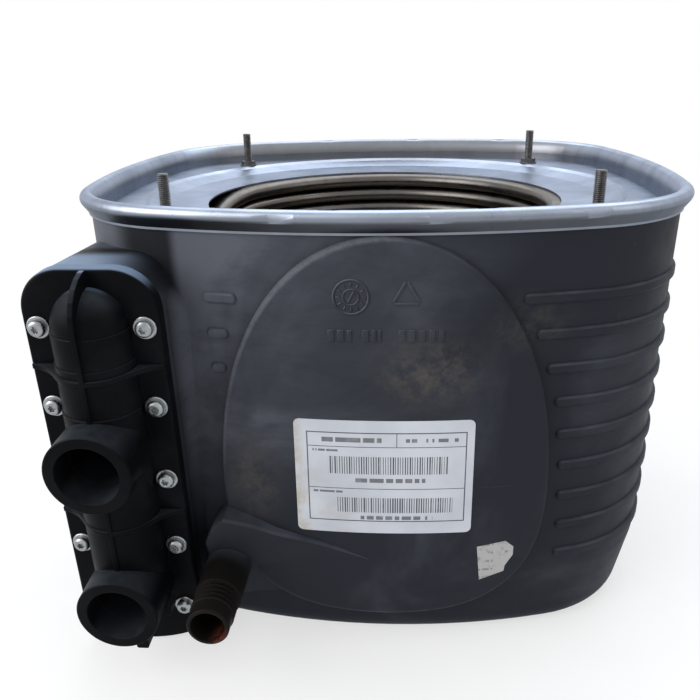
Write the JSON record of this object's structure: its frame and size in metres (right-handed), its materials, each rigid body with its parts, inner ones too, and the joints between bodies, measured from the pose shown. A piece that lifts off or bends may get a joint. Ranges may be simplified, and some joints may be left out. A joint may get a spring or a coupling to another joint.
{
  "type": "condensing boiler heat exchanger",
  "caption": "Boiler primary heat exchanger: coiled stainless tubes in a black plastic casing with a rolled steel front plate, a water manifold with two ports, and a barbed condensate spigot.",
  "frame": {"origin": "centre of the rear rest face, on the coil axis", "axes": "+Z along the coil axis to the burner door studs; -Y is the side with the water ports and the condensate spigot"},
  "size_m": [0.3432, 0.393, 0.2513],
  "materials": {
    "casing_plastic": "matt dark charcoal, mineral-filled moulding with a faint grain",
    "cover_plastic": "matt black moulding, slightly darker than the casing",
    "plate_steel": "cold-rolled stainless sheet, satin",
    "coil_steel": "formed stainless tube, soft satin",
    "inner_steel": "plain stainless sheet and bar",
    "stud_steel": "zinc-plated steel with rolled thread",
    "screw_steel": "bright zinc plating",
    "brass": "turned brass",
    "insulation": "pressed fibre board",
    "seal_rubber": "moulded silicone or EPDM rubber",
    "label_film": "printed film label, blank lines only",
    "sticker_paper": "torn paper sticker"
  },
  "bodies": {
    "root": {"casing": "casing_plastic", "front_plate": "plate_steel", "front_seal": "seal_rubber", "door_studs": "stud_steel", "stud_collars": "stud_steel", "coil_primary_front": "coil_steel", "coil_primary_middle": "coil_steel", "coil_primary_back": "coil_steel", "coil_secondary": "coil_steel", "coil_combs": "inner_steel", "tie_rods": "inner_steel", "tie_rod_nuts": "inner_steel", "baffle_plate": "inner_steel", "baffle_insulation": "insulation", "baffle_washer": "inner_steel", "baffle_bolt": "inner_steel", "baffle_nut": "inner_steel", "rear_plate": "inner_steel", "rear_insulation": "insulation", "tube_gasket": "seal_rubber", "tube_plate": "inner_steel", "manifold_divider": "cover_plastic", "cover_gasket": "seal_rubber", "manifold_cover": "cover_plastic", "cover_screws": "screw_steel", "screw_washers": "screw_steel", "threaded_inserts": "brass", "flue_seal": "seal_rubber", "rating_label": "label_film", "stock_sticker": "sticker_paper"}
  },
  "joints": []
}
